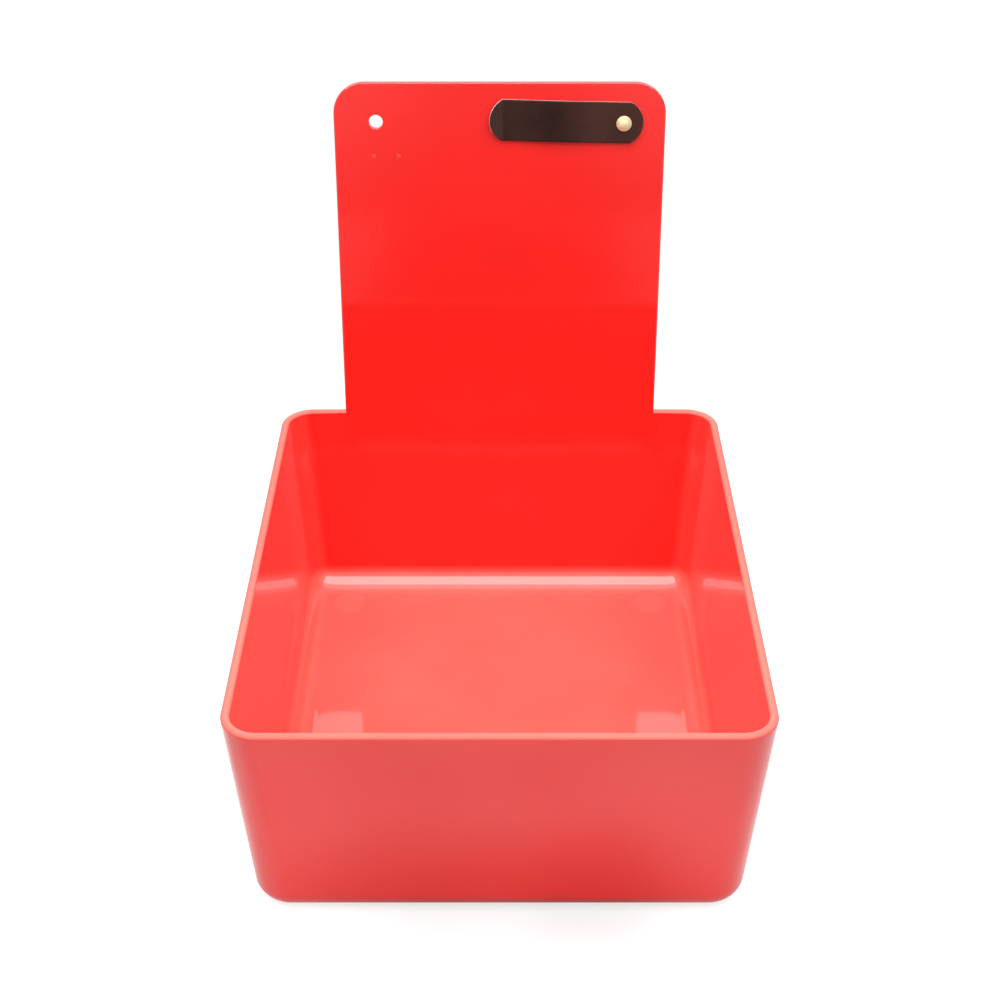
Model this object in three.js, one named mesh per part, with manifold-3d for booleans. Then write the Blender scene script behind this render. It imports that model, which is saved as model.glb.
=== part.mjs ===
// Moulded work pan with a tall back panel and a riveted spring clip.
// Millimetres, +Z up, front towards -Y. The origin is on the underside, midway along the rim.
import * as THREE from "three";
import { mergeVertices } from "three/addons/utils/BufferGeometryUtils.js";
import Module from "manifold-3d";

// Tray
const RIM_WIDTH = 133.35;
const RIM_DEPTH = 157;
const TRAY_HEIGHT = 62.2;
const WALL = 2.2;
const FLOOR = 2.2;
const SIDE_DRAFT = 3.9;
const FRONT_DRAFT = 4.8;
const BACK_DRAFT = 6.6;
const CORNER_RADIUS = 9.4;
const BASE_EDGE_RADIUS = 6.5;
const FLOOR_FILLET = 8;

// Back panel, measured up its own slope from the rim
const PANEL_WIDTH = 95.25;
const PANEL_HEIGHT = 101.1;
const PANEL_THICKNESS = 2;
const PANEL_CORNER_RADIUS = 8.9;
const PANEL_EDGE_RADIUS = 0.4;
const PANEL_ROOT = 9;
const HOLE_DIAMETER = 4;
const HOLE_DROP = 11.25;
const HOLE_SPACING = 71.1;

// Spring clip
const LEAF_LENGTH = 44.1;
const LEAF_WIDTH = 11.8;
const LEAF_THICKNESS = 0.6;
const LEAF_END_RADIUS = 6.6;
const LEAF_HEEL = 5.6;
const LEAF_STANDOFF = 0.42;
const LEAF_TOUCH_GAP = 0.3;
const LEAF_BOW = 0.45;
const LIP_LENGTH = 4.2;
const LIP_ANGLE = 24;
const LIP_BEND_RADIUS = 3;
const CLIP_TILT = 1.27;

// Rivet and the washer under its clinched tail
const SHANK_DIAMETER = 3.1;
const HEAD_DIAMETER = 4.4;
const HEAD_HEIGHT = 1.5;
const HEAD_RIM = 0.7;
const HEAD_GAP = 0.42;
const CLINCH_DIAMETER = 4.9;
const CLINCH_HEIGHT = 1.1;
const TAIL_BORE = 1.8;
const TAIL_BORE_DEPTH = 2.2;
const WASHER_DIAMETER = 7.4;
const WASHER_THICKNESS = 0.8;
const BORE_CLEARANCE = 0.3;
const SEAT_GAP = 0.3;

// Fineness of the faceting
const CORNER_STEPS = 8;
const FILLET_STEPS = 6;
const RIM_STEPS = 8;
const HOLE_STEPS = 12;
const TURNED_STEPS = 32;
const BOW_STEPS = 10;

const RIM_CENTRE = TRAY_HEIGHT - WALL / 2;
const LEAN = THREE.MathUtils.degToRad(BACK_DRAFT);
const PANEL_SETBACK = (WALL * Math.cos(LEAN) - PANEL_THICKNESS) / 2;
const HOLE_UP = PANEL_HEIGHT - HOLE_DROP;
const LEAF_FRONT = LEAF_STANDOFF + LEAF_THICKNESS;

const wasm = await Module();
wasm.setup();

const MATERIALS = {
  redPlastic: new THREE.MeshStandardMaterial({ color: 0xf03a34, roughness: 0.22, metalness: 0 }),
  blackedSpringSteel: new THREE.MeshStandardMaterial({ color: 0x3a2826, roughness: 0.4, metalness: 0.8 }),
  brass: new THREE.MeshStandardMaterial({ color: 0xd9b56b, roughness: 0.25, metalness: 1 }),
  platedSteel: new THREE.MeshStandardMaterial({ color: 0xb9bbbd, roughness: 0.35, metalness: 1 }),
};

// Closed geometry to solid, and back
function toSolid(geometry, matrix = new THREE.Matrix4()) {
  const plain = geometry.clone();
  plain.deleteAttribute("normal");
  plain.deleteAttribute("uv");
  plain.applyMatrix4(matrix);
  const merged = mergeVertices(plain, 1e-4);
  return new wasm.Manifold(
    new wasm.Mesh({
      numProp: 3,
      vertProperties: new Float32Array(merged.attributes.position.array),
      triVerts: new Uint32Array(merged.index.array),
    }),
  );
}

function toGeometry(solid) {
  const mesh = solid.getMesh();
  const geometry = new THREE.BufferGeometry();
  geometry.setAttribute("position", new THREE.BufferAttribute(mesh.vertProperties, 3));
  geometry.setIndex(new THREE.BufferAttribute(mesh.triVerts, 1));
  const faceted = geometry.toNonIndexed();
  faceted.computeVertexNormals();
  return faceted;
}

// How far a drafted wall stands out at a height above its foot, where a fillet turns it into the floor
function wallReach(height, reachAtRim, rise, draftDegrees, fillet) {
  const draft = THREE.MathUtils.degToRad(draftDegrees);
  const line = reachAtRim - (rise - height) * Math.tan(draft);
  if (height >= fillet * (1 - Math.sin(draft))) return line;
  const foot = reachAtRim - rise * Math.tan(draft);
  const centre = foot - fillet * Math.tan((Math.PI / 2 - draft) / 2);
  return centre + Math.sqrt(Math.max(0, fillet ** 2 - (fillet - height) ** 2));
}

// One level of the tray's skin: a rounded rectangle of corner arcs, anticlockwise from above
function levelRing({ half, front, back, radius, z }) {
  const corners = [
    [half - radius, -front + radius, -90],
    [half - radius, back - radius, 0],
    [-half + radius, back - radius, 90],
    [-half + radius, -front + radius, 180],
  ];
  const ring = [];
  for (const [x, y, start] of corners) {
    for (let i = 0; i <= CORNER_STEPS; i++) {
      const angle = THREE.MathUtils.degToRad(start + (90 * i) / CORNER_STEPS);
      ring.push(new THREE.Vector3(x + radius * Math.cos(angle), y + radius * Math.sin(angle), z));
    }
  }
  return ring;
}

// A level of the outer skin (inset 0) or of the inner skin (inset by the wall)
function skinLevel(height, inset, foot, fillet) {
  const rise = RIM_CENTRE - foot;
  const half = wallReach(height, RIM_WIDTH / 2 - inset, rise, SIDE_DRAFT, fillet);
  const sideDraft = THREE.MathUtils.degToRad(SIDE_DRAFT);
  const curl = RIM_WIDTH / 2 - inset - (rise - height) * Math.tan(sideDraft) - half;
  return levelRing({
    half,
    front: wallReach(height, RIM_DEPTH / 2 - inset, rise, FRONT_DRAFT, fillet),
    back: wallReach(height, RIM_DEPTH / 2 - inset, rise, BACK_DRAFT, fillet),
    radius: Math.max(CORNER_RADIUS - inset - curl, WALL / 4),
    z: foot + height,
  });
}

// The rim's round top, from the outer wall over to the inner wall
function rimLevel(step) {
  const angle = (Math.PI * step) / RIM_STEPS;
  const inset = (WALL / 2) * (1 - Math.cos(angle));
  return levelRing({
    half: RIM_WIDTH / 2 - inset,
    front: RIM_DEPTH / 2 - inset,
    back: RIM_DEPTH / 2 - inset,
    radius: Math.max(CORNER_RADIUS - inset, WALL / 4),
    z: RIM_CENTRE + (WALL / 2) * Math.sin(angle),
  });
}

// The tray as one skin: underside, outer walls, round rim, inner walls and floor
function trayGeometry() {
  const levels = [];
  for (let i = 0; i <= FILLET_STEPS; i++) {
    const turn = (Math.PI / 2) * (i / FILLET_STEPS);
    levels.push(skinLevel(BASE_EDGE_RADIUS * (1 - Math.cos(turn)), 0, 0, BASE_EDGE_RADIUS));
  }
  for (let i = 0; i <= RIM_STEPS; i++) {
    levels.push(rimLevel(i));
  }
  for (let i = FILLET_STEPS; i >= 0; i--) {
    const turn = (Math.PI / 2) * (i / FILLET_STEPS);
    levels.push(skinLevel(FLOOR_FILLET * (1 - Math.cos(turn)), WALL, FLOOR, FLOOR_FILLET));
  }
  const around = levels[0].length;
  const points = levels.flat();
  const index = [];
  for (let k = 0; k + 1 < levels.length; k++) {
    for (let i = 0; i < around; i++) {
      const next = (i + 1) % around;
      const a = k * around + i;
      const b = k * around + next;
      index.push(a, b, b + around, a, b + around, a + around);
    }
  }
  const lastLevel = (levels.length - 1) * around;
  const underside = points.push(new THREE.Vector3(0, 0, 0)) - 1;
  const floor = points.push(new THREE.Vector3(0, 0, FLOOR)) - 1;
  for (let i = 0; i < around; i++) {
    const next = (i + 1) % around;
    index.push(underside, next, i);
    index.push(floor, lastLevel + i, lastLevel + next);
  }
  return new THREE.BufferGeometry().setFromPoints(points).setIndex(index);
}

// Round hole for a shape, anticlockwise
function roundHole(x, y, diameter) {
  const hole = new THREE.Path();
  hole.absarc(x, y, diameter / 2, 0, 2 * Math.PI, true);
  return hole;
}

// The back panel standing on z = 0, front face towards -Y, with its two rivet holes
function panelGeometry() {
  const half = PANEL_WIDTH / 2;
  const corner = PANEL_CORNER_RADIUS;
  const outline = new THREE.Shape();
  outline.moveTo(-half, -PANEL_ROOT);
  outline.lineTo(half, -PANEL_ROOT);
  outline.lineTo(half, PANEL_HEIGHT - corner);
  outline.absarc(half - corner, PANEL_HEIGHT - corner, corner, 0, Math.PI / 2, false);
  outline.lineTo(-half + corner, PANEL_HEIGHT);
  outline.absarc(-half + corner, PANEL_HEIGHT - corner, corner, Math.PI / 2, Math.PI, false);
  for (const side of [-1, 1]) {
    outline.holes.push(roundHole((side * HOLE_SPACING) / 2, HOLE_UP, HOLE_DIAMETER));
  }
  const plate = new THREE.ExtrudeGeometry(outline, {
    depth: PANEL_THICKNESS - 2 * PANEL_EDGE_RADIUS,
    bevelThickness: PANEL_EDGE_RADIUS,
    bevelSize: PANEL_EDGE_RADIUS,
    bevelOffset: -PANEL_EDGE_RADIUS,
    bevelSegments: 2,
    curveSegments: HOLE_STEPS,
  });
  plate.rotateX(Math.PI / 2);
  plate.translate(0, PANEL_SETBACK + PANEL_THICKNESS - PANEL_EDGE_RADIUS, 0);
  return plate;
}

// Places the panel's own frame: its front plane is the inner back wall carried on upwards
function placeOnPanelPlane(object) {
  const innerBack = RIM_DEPTH / 2 - WALL + (WALL / 2) * Math.tan(LEAN);
  object.position.set(0, innerBack, TRAY_HEIGHT);
  object.rotation.x = -LEAN;
  object.updateMatrix();
  return object;
}

// The pan is one moulding: the panel's root runs down inside the tray's back wall
function panGeometry() {
  const panelPlace = placeOnPanelPlane(new THREE.Object3D());
  const tray = toSolid(trayGeometry());
  const panel = toSolid(panelGeometry(), panelPlace.matrix);
  return toGeometry(tray.add(panel));
}

// Mid-line of the leaf seen from above its edge, from the heel to the tip of the lip
// x runs along the leaf from the rivet, y is the distance in front of the panel
function leafMidline() {
  const mid = LEAF_STANDOFF + LEAF_THICKNESS / 2;
  const touch = LEAF_TOUCH_GAP + LEAF_THICKNESS / 2;
  const clamped = -HEAD_DIAMETER / 2 - LEAF_STANDOFF;
  const lipTurn = THREE.MathUtils.degToRad(LIP_ANGLE);
  const lipRun = LIP_BEND_RADIUS * Math.sin(lipTurn);
  const lipStraight = Math.max(LIP_LENGTH - lipRun, LEAF_THICKNESS);
  const bendStart = LEAF_HEEL - LEAF_LENGTH + lipStraight + lipRun;
  const points = [new THREE.Vector2(LEAF_HEEL, mid)];
  const span = clamped - bendStart;
  for (let i = 0; i <= BOW_STEPS; i++) {
    const share = i / BOW_STEPS;
    const fall = (3 * share ** 2 - 2 * share ** 3) * (mid - touch);
    const bow = LEAF_BOW * Math.sin(Math.PI * share) ** 2;
    points.push(new THREE.Vector2(clamped - share * span, mid - fall + bow));
  }
  for (let i = 1; i <= FILLET_STEPS; i++) {
    const turn = (lipTurn * i) / FILLET_STEPS;
    const out = LIP_BEND_RADIUS * (1 - Math.cos(turn));
    points.push(new THREE.Vector2(bendStart - LIP_BEND_RADIUS * Math.sin(turn), touch + out));
  }
  const bendEnd = points.at(-1);
  points.push(new THREE.Vector2(bendEnd.x - lipStraight, bendEnd.y + lipStraight * Math.tan(lipTurn)));
  return points;
}

// A strip of even thickness on both sides of a mid-line
function stripShape(midline, thickness) {
  const offset = (side) =>
    midline.map((point, i) => {
      const before = midline[Math.max(i - 1, 0)];
      const after = midline[Math.min(i + 1, midline.length - 1)];
      const along = after.clone().sub(before).normalize();
      return new THREE.Vector2(point.x - along.y * side, point.y + along.x * side);
    });
  return new THREE.Shape([...offset(thickness / 2), ...offset(-thickness / 2).reverse()]);
}

// Plan of the leaf: straight edges and shallow arc ends, with the rivet's hole
function leafOutline() {
  const half = LEAF_WIDTH / 2;
  const radius = Math.max(LEAF_END_RADIUS, half);
  const reach = Math.sqrt(radius ** 2 - half ** 2);
  const sweep = Math.asin(half / radius);
  const tip = LEAF_HEEL - LEAF_LENGTH;
  const outline = new THREE.Shape();
  outline.absarc(LEAF_HEEL - radius, 0, radius, -sweep, sweep, false);
  outline.lineTo(tip + radius - reach, half);
  outline.absarc(tip + radius, 0, radius, Math.PI - sweep, Math.PI + sweep, false);
  outline.holes.push(roundHole(0, 0, SHANK_DIAMETER + 2 * BORE_CLEARANCE));
  return outline;
}

// The leaf: the bent strip, cut to its plan
function leafGeometry() {
  const strip = new THREE.ExtrudeGeometry(stripShape(leafMidline(), LEAF_THICKNESS), {
    depth: 2 * LEAF_WIDTH,
    bevelEnabled: false,
  });
  strip.translate(0, 0, -LEAF_WIDTH);
  strip.rotateX(Math.PI);
  const stock = 2 * LEAF_LENGTH;
  const plan = new THREE.ExtrudeGeometry(leafOutline(), {
    depth: stock,
    bevelEnabled: false,
    curveSegments: HOLE_STEPS,
  });
  plan.translate(0, 0, -stock / 2);
  plan.rotateX(Math.PI / 2);
  return toGeometry(toSolid(strip).intersect(toSolid(plan)));
}

// A turned piece about the rivet's axis; each profile point is a radius and a distance in front of the panel
function turned(profile) {
  const points = profile.map(([radius, front]) => new THREE.Vector2(radius, -front));
  return new THREE.LatheGeometry(points, TURNED_STEPS);
}

// Domed head in front, shank through clip and panel, tail rolled over the washer behind
function rivetGeometry() {
  const shank = SHANK_DIAMETER / 2;
  const head = HEAD_DIAMETER / 2;
  const clinch = CLINCH_DIAMETER / 2;
  const bore = TAIL_BORE / 2;
  const headSeat = LEAF_FRONT + HEAD_GAP;
  const washerBack = -(PANEL_SETBACK + PANEL_THICKNESS + SEAT_GAP + WASHER_THICKNESS);
  const clinchSeat = washerBack - SEAT_GAP;
  const tail = clinchSeat - CLINCH_HEIGHT;
  const profile = [];
  const dome = HEAD_HEIGHT - HEAD_RIM;
  for (let i = 0; i <= FILLET_STEPS; i++) {
    const turn = (Math.PI / 2) * (i / FILLET_STEPS);
    profile.push([head * Math.sin(turn), headSeat + HEAD_RIM + dome * Math.cos(turn)]);
  }
  profile.push([head, headSeat], [shank, headSeat], [shank, clinchSeat]);
  const rollCentre = (clinch + bore) / 2;
  for (let i = 0; i <= FILLET_STEPS; i++) {
    const turn = Math.PI * (i / FILLET_STEPS);
    const radius = rollCentre + (clinch - rollCentre) * Math.cos(turn);
    profile.push([radius, clinchSeat - CLINCH_HEIGHT * Math.sin(turn)]);
  }
  profile.push([bore, tail + TAIL_BORE_DEPTH], [0, tail + TAIL_BORE_DEPTH + bore / 2]);
  return turned(profile);
}

function washerGeometry() {
  const bore = SHANK_DIAMETER / 2 + BORE_CLEARANCE;
  const outer = WASHER_DIAMETER / 2;
  const front = -(PANEL_SETBACK + PANEL_THICKNESS + SEAT_GAP);
  const back = front - WASHER_THICKNESS;
  const edge = WASHER_THICKNESS / 4;
  return turned([
    [bore, front],
    [outer - edge, front],
    [outer, front - edge],
    [outer, back + edge],
    [outer - edge, back],
    [bore, back],
    [bore, front],
  ]);
}

function named(name, geometry, material) {
  const mesh = new THREE.Mesh(geometry, material);
  mesh.name = name;
  return mesh;
}

const workPan = new THREE.Group();
workPan.add(named("pan", panGeometry(), MATERIALS.redPlastic));

const panelPlane = placeOnPanelPlane(new THREE.Group());
const clipPlace = new THREE.Group();
clipPlace.position.set(HOLE_SPACING / 2, 0, HOLE_UP);
clipPlace.rotation.y = THREE.MathUtils.degToRad(CLIP_TILT);
clipPlace.add(named("clip_leaf", leafGeometry(), MATERIALS.blackedSpringSteel));
clipPlace.add(named("rivet", rivetGeometry(), MATERIALS.brass));
clipPlace.add(named("rivet_washer", washerGeometry(), MATERIALS.platedSteel));
panelPlane.add(clipPlace);
workPan.add(panelPlane);

export default workPan;
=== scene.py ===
"""Moulded work pan with a ticket clip: its finer shapes, its finishes and a studio.

Everything is in metres, with +Z up and the open front towards -Y.
"""

import math

import bmesh
import bpy
from bpy.props import FloatProperty, FloatVectorProperty, IntProperty, PointerProperty
from bpy.types import Operator, Panel, PropertyGroup
from mathutils import Matrix, Vector


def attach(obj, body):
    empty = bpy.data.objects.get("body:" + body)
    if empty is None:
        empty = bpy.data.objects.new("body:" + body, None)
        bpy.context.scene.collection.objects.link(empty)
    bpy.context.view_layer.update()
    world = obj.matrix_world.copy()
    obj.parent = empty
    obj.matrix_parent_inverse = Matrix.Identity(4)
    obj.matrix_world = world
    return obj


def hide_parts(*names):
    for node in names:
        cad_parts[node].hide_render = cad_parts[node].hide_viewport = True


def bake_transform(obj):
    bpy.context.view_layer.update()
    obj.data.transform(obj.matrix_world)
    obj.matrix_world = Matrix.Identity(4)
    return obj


bl_info = {
    "name": "Work Pan",
    "version": (1, 0, 0),
    "blender": (4, 5, 0),
    "location": "3D Viewport > Sidebar > Work Pan",
    "description": "Builds a moulded work pan with its ticket clip, finishes and studio",
    "category": "Object",
}

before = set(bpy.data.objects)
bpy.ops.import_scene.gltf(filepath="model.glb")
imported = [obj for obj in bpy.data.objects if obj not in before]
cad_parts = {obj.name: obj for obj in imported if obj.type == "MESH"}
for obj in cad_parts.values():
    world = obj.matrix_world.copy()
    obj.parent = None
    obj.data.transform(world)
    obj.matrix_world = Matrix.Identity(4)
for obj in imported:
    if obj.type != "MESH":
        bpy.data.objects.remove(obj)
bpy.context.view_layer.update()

MM = 0.001
WELD = 1e-7
BUMP_DEPTH = 0.1 * MM
RIGHT_ANGLE = math.pi / 2
SHARP_EDGE = math.radians(35)
TUMBLED_EDGE = math.radians(50)


# Sizes and colours


def length(name, description, millimetres):
    return FloatProperty(
        name=name,
        description=description,
        default=millimetres * MM,
        unit="LENGTH",
        precision=5,
    )


def angle(name, description, degrees):
    return FloatProperty(
        name=name,
        description=description,
        default=math.radians(degrees),
        subtype="ANGLE",
    )


def count(name, description, default):
    return IntProperty(name=name, description=description, default=default, min=1)


def share(name, description, default, top=1.0):
    return FloatProperty(
        name=name, description=description, default=default, min=0.0, max=top
    )


def colour(name, description, red, green, blue):
    return FloatVectorProperty(
        name=name,
        description=description,
        default=(red, green, blue),
        subtype="COLOR",
        min=0.0,
        max=1.0,
    )


class PanSizes(PropertyGroup):
    """Sizes of the one-piece moulding: the tray and its back panel."""

    rim_width: length("Rim width", "Across the tray at its rim", 133.35)
    rim_depth: length("Rim depth", "From front to back at the rim", 157.0)
    tray_height: length("Tray height", "From the underside to the rim's top", 62.2)
    wall: length("Wall", "Thickness of the tray's walls", 2.2)
    floor: length("Floor", "Thickness of the tray's floor", 2.2)
    side_draft: angle("Side draft", "How far the side walls lean out", 3.9)
    front_draft: angle("Front draft", "How far the front wall leans out", 4.8)
    back_draft: angle("Back draft", "How far the back wall and panel lean out", 6.6)
    corner_radius: length("Corner radius", "Outer corners of the rim in plan", 9.4)
    base_edge_radius: length("Base edge radius", "Rounded lower edge", 6.5)
    floor_fillet: length("Floor fillet", "Inside, from the floor to the walls", 8.0)
    panel_width: length("Panel width", "Across the back panel", 95.25)
    panel_height: length("Panel height", "Up the slope from the rim", 101.1)
    panel_thickness: length("Panel thickness", "Thickness of the back panel", 2.09)
    panel_corner_radius: length("Panel corner radius", "Its upper corners", 8.9)
    panel_edge_radius: length("Panel edge radius", "Rounding of the panel's edges", 0.45)
    panel_root: length("Panel root", "How far the panel runs down in the wall", 9.0)
    hole_diameter: length("Hole diameter", "Clip holes in the panel", 4.0)
    hole_edge_radius: length("Hole edge radius", "Rounding of the hole's edge", 0.22)
    hole_drop: length("Hole drop", "From the panel's top edge to the holes", 11.25)
    hole_spacing: length("Hole spacing", "Between the two holes", 71.1)


class ClipSizes(PropertyGroup):
    """Sizes of the spring leaf, its rivet and the washer behind the panel."""

    leaf_length: length("Leaf length", "Over the two round ends", 44.1)
    leaf_width: length("Leaf width", "Across the leaf", 11.8)
    leaf_thickness: length("Leaf thickness", "Sheet thickness", 0.6)
    leaf_end_radius: length("Leaf end radius", "Arc of each end in plan", 6.6)
    leaf_heel: length("Leaf heel", "From the rivet to the heel", 5.6)
    leaf_standoff: length("Leaf standoff", "Panel to leaf at the rivet", 0.42)
    leaf_touch_gap: length("Leaf touch gap", "Panel to leaf where it presses", 0.3)
    leaf_bow: length("Leaf bow", "How far the leaf arches in between", 0.45)
    leaf_edge_radius: length("Leaf edge radius", "Tumbled edges", 0.28)
    lip_length: length("Lip length", "Turned-out end of the leaf", 4.2)
    lip_angle: angle("Lip angle", "How far the lip turns out", 24.0)
    lip_bend_radius: length("Lip bend radius", "Inside the lip's bend", 3.0)
    clip_tilt: angle("Clip tilt", "How far the clip is turned on its rivet", 1.27)
    shank_diameter: length("Shank diameter", "Rivet shank", 3.1)
    head_diameter: length("Head diameter", "Rivet head", 4.4)
    head_height: length("Head height", "Rivet head with its rim", 1.5)
    head_rim: length("Head rim", "Straight rim under the dome", 0.7)
    head_gap: length("Head gap", "Leaf to rivet head", 0.42)
    clinch_diameter: length("Clinch diameter", "Rolled tail", 4.9)
    clinch_height: length("Clinch height", "How far the tail stands out", 1.1)
    tail_bore: length("Tail bore", "Hollow of the tail", 1.8)
    tail_bore_depth: length("Tail bore depth", "How deep the hollow goes", 2.2)
    washer_diameter: length("Washer diameter", "Across the washer", 7.4)
    washer_thickness: length("Washer thickness", "Sheet thickness", 0.8)
    bore_clearance: length("Bore clearance", "Round the shank", 0.3)
    seat_gap: length("Seat gap", "Panel to washer to tail", 0.3)


class Fineness(PropertyGroup):
    """How finely the curved surfaces are divided."""

    corner_steps: count("Corner steps", "Round each corner of the tray", 20)
    fillet_steps: count("Fillet steps", "Over each fillet of the tray", 18)
    rim_steps: count("Rim steps", "Over the rim's round top", 16)
    panel_corner_steps: count("Panel corner steps", "Round each corner of the panel", 28)
    panel_edge_steps: count("Panel edge steps", "Over the panel's rounded edges", 5)
    hole_edge_steps: count("Hole edge steps", "Over the holes' rounded edges", 6)
    turned_steps: count("Turned steps", "Round each turned piece", 64)
    leaf_steps: count("Leaf steps", "Along the spring leaf", 132)
    leaf_rows: count("Leaf rows", "Across the spring leaf", 24)
    leaf_edge_steps: count("Leaf edge steps", "Over the leaf's tumbled edges", 3)
    dome_steps: count("Dome steps", "From the rivet's crown to its rim", 16)
    head_edge_steps: count("Head edge steps", "Over the head's lower edge", 5)
    clinch_steps: count("Clinch steps", "Over the rivet's rolled tail", 14)
    washer_edge_steps: count("Washer edge steps", "Over the washer's edges", 4)


class Finishes(PropertyGroup):
    """Colours and wear of the materials."""

    plastic: colour("Plastic", "Red moulded plastic", 0.80, 0.017, 0.0132)
    # The haze colour is painted on for dust specks, rim scuffs and paler pin marks; the
    # haze amount is painted light on faces that look up
    plastic_haze: colour("Haze", "Fine scuffs and dust on the floor", 0.90, 0.42, 0.32)
    haze_amount: share("Haze amount", "Haze on the tray's floor", 0.22)
    # Painted pale sheen: a painted reflection along the tray's side fillets
    painted_corner_sheen: share("Corner dust", "Dust along the tray's side fillets", 0.19)
    pin_dust: share("Pin dust", "How much more dust shows on the pin marks", 0.18)
    # How much paler the two raised dots are
    pip_paleness: share("Pip wear", "Scuffing of the two raised dots", 0.07)
    rim_wear: share("Rim wear", "Scuffing of the rim's top", 0.10)
    plastic_roughness: share("Plastic roughness", "Roughness of the clean moulding", 0.05)
    sheen: share("Sheen", "Soft shine of fine scuffs", 0.16)
    steel: colour("Blacked steel", "Oxide on the spring leaf", 0.040, 0.014, 0.010)
    steel_edge: colour("Cut edge", "Bare steel at the leaf's edge", 0.92, 0.82, 0.80)
    brass: colour("Brass", "Rivet", 0.80, 0.68, 0.41)
    # Darker brass: painted shade on the rivet outside its painted highlight, and tarnish
    # along its scratches
    tarnish_and_shade: colour("Tarnish", "Dull brass near the leaf", 0.36, 0.26, 0.12)
    washer: colour("Washer", "Plated steel washer", 0.62, 0.62, 0.63)


class Studio(PropertyGroup):
    """Camera, lamps and backdrop."""

    camera_place: FloatVectorProperty(
        name="Camera place",
        description="Where the camera stands",
        default=(0.0001, -0.39227, 0.32658),
        subtype="TRANSLATION",
        precision=5,
    )
    camera_dip: angle("Camera dip", "How far the camera looks down", 32.35)
    lens: FloatProperty(
        name="Lens", description="Focal length in millimetres", default=62.57
    )
    softbox_width: length("Softbox width", "Across the overhead softbox", 1000.0)
    softbox_depth: length("Softbox depth", "From front to back", 1050.0)
    softbox_height: length("Softbox height", "Above the floor", 780.0)
    softbox_forward: length("Softbox forward", "Its centre in front of the pan", 510.0)
    softbox_glow: share("Softbox glow", "Brightness that lights the pan", 4.6, 50.0)
    shine_width: length("Shine width", "Across the softbox as it reflects", 1400.0)
    shine_depth: length("Shine depth", "Its bright middle from front to back", 730.0)
    shine_forward: length("Shine forward", "The middle's centre before the pan", 465.0)
    shine_glow: share("Shine glow", "What the middle adds to the border", 3.9, 50.0)
    border_depth: length("Border depth", "With its border, from front to back", 1200.0)
    border_forward: length("Border forward", "The border's centre before the pan", 350.0)
    border_glow: share("Border glow", "Brightness that reflects all over", 1.7, 50.0)
    card_width: length("Card width", "Across the white card behind the pan", 1800.0)
    card_depth: length("Card depth", "Up the card's slope", 900.0)
    card_distance: length("Card distance", "Its centre behind the pan", 900.0)
    card_height: length("Card height", "Its centre above the floor", 800.0)
    card_glow: share("Card glow", "Brightness of the card", 1.0, 50.0)
    fill: share("Fill", "Light from the white surroundings", 0.42, 5.0)
    mat_reach: length("Mat reach", "White mat under the pan", 190.0)


SETTINGS = {
    "pan": PanSizes,
    "clip": ClipSizes,
    "fineness": Fineness,
    "finishes": Finishes,
    "studio": Studio,
}


def settings(group):
    return getattr(bpy.context.scene, "workpan_" + group)


# Maths written as node trees


def arithmetic(operation, swapped=False):
    """A method that adds a Math node for a wire and another wire or a number."""

    def method(self, other):
        values = (other, self) if swapped else (self, other)
        return maths(self.tree, operation, *values)

    return method


class Wire:
    """A value on its way through a node tree. Arithmetic on wires adds the Math nodes."""

    __add__ = __radd__ = arithmetic("ADD")
    __sub__ = arithmetic("SUBTRACT")
    __rsub__ = arithmetic("SUBTRACT", swapped=True)
    __mul__ = __rmul__ = arithmetic("MULTIPLY")
    __truediv__ = arithmetic("DIVIDE")
    __gt__ = arithmetic("GREATER_THAN")
    __lt__ = arithmetic("LESS_THAN")
    at_least = arithmetic("MAXIMUM")
    at_most = arithmetic("MINIMUM")

    def __init__(self, tree, socket):
        self.tree = tree
        self.socket = socket

    def of(self, operation):
        return maths(self.tree, operation, self)


def plug(socket, value):
    """Links a wire or another socket to the socket, or sets a plain value."""
    source = value.socket if isinstance(value, Wire) else value
    if isinstance(source, bpy.types.NodeSocket):
        socket.id_data.links.new(source, socket)
    else:
        socket.default_value = source


def plug_all(node, values):
    """Plugs values into a node's inputs, by label or number."""
    for key, value in values.items():
        plug(node.inputs[key], value)


def new_node(tree, kind, values, **modes):
    node = tree.nodes.new(kind)
    for mode, choice in modes.items():
        setattr(node, mode, choice)
    plug_all(node, values)
    return node


def node_wire(tree, kind, values, output=0, **modes):
    return Wire(tree, new_node(tree, kind, values, **modes).outputs[output])


def maths(tree, operation, *values):
    given = dict(enumerate(values))
    return node_wire(tree, "ShaderNodeMath", given, operation=operation)


def between(low, high, how_far):
    return low + (high - low) * how_far


def largest(wires):
    most, *others = wires
    for wire in others:
        most = most.at_least(wire)
    return most


def xyz_of(tree, vector):
    split = new_node(tree, "ShaderNodeSeparateXYZ", {0: vector})
    return [Wire(tree, socket) for socket in split.outputs]


# Geometry Nodes trees


def open_tree(name, sizes):
    """A tree with an input for each size: returns it, its source and the sizes' wires."""
    tree = bpy.data.node_groups.new(name, "GeometryNodeTree")
    sockets = tree.interface
    sockets.new_socket("Geometry", in_out="INPUT", socket_type="NodeSocketGeometry")
    for label, value in sizes.items():
        whole = isinstance(value, int)
        kind = "NodeSocketInt" if whole else "NodeSocketFloat"
        socket = sockets.new_socket(label, in_out="INPUT", socket_type=kind)
        if not whole:
            turns = label.endswith(("Draft", "Angle"))
            socket.subtype = "ANGLE" if turns else "DISTANCE"
        socket.default_value = value
    sockets.new_socket("Material", in_out="INPUT", socket_type="NodeSocketMaterial")
    sockets.new_socket("Geometry", in_out="OUTPUT", socket_type="NodeSocketGeometry")
    source = tree.nodes.new("NodeGroupInput")
    wires = {label: Wire(tree, source.outputs[label]) for label in sizes}
    return tree, source, wires


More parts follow.
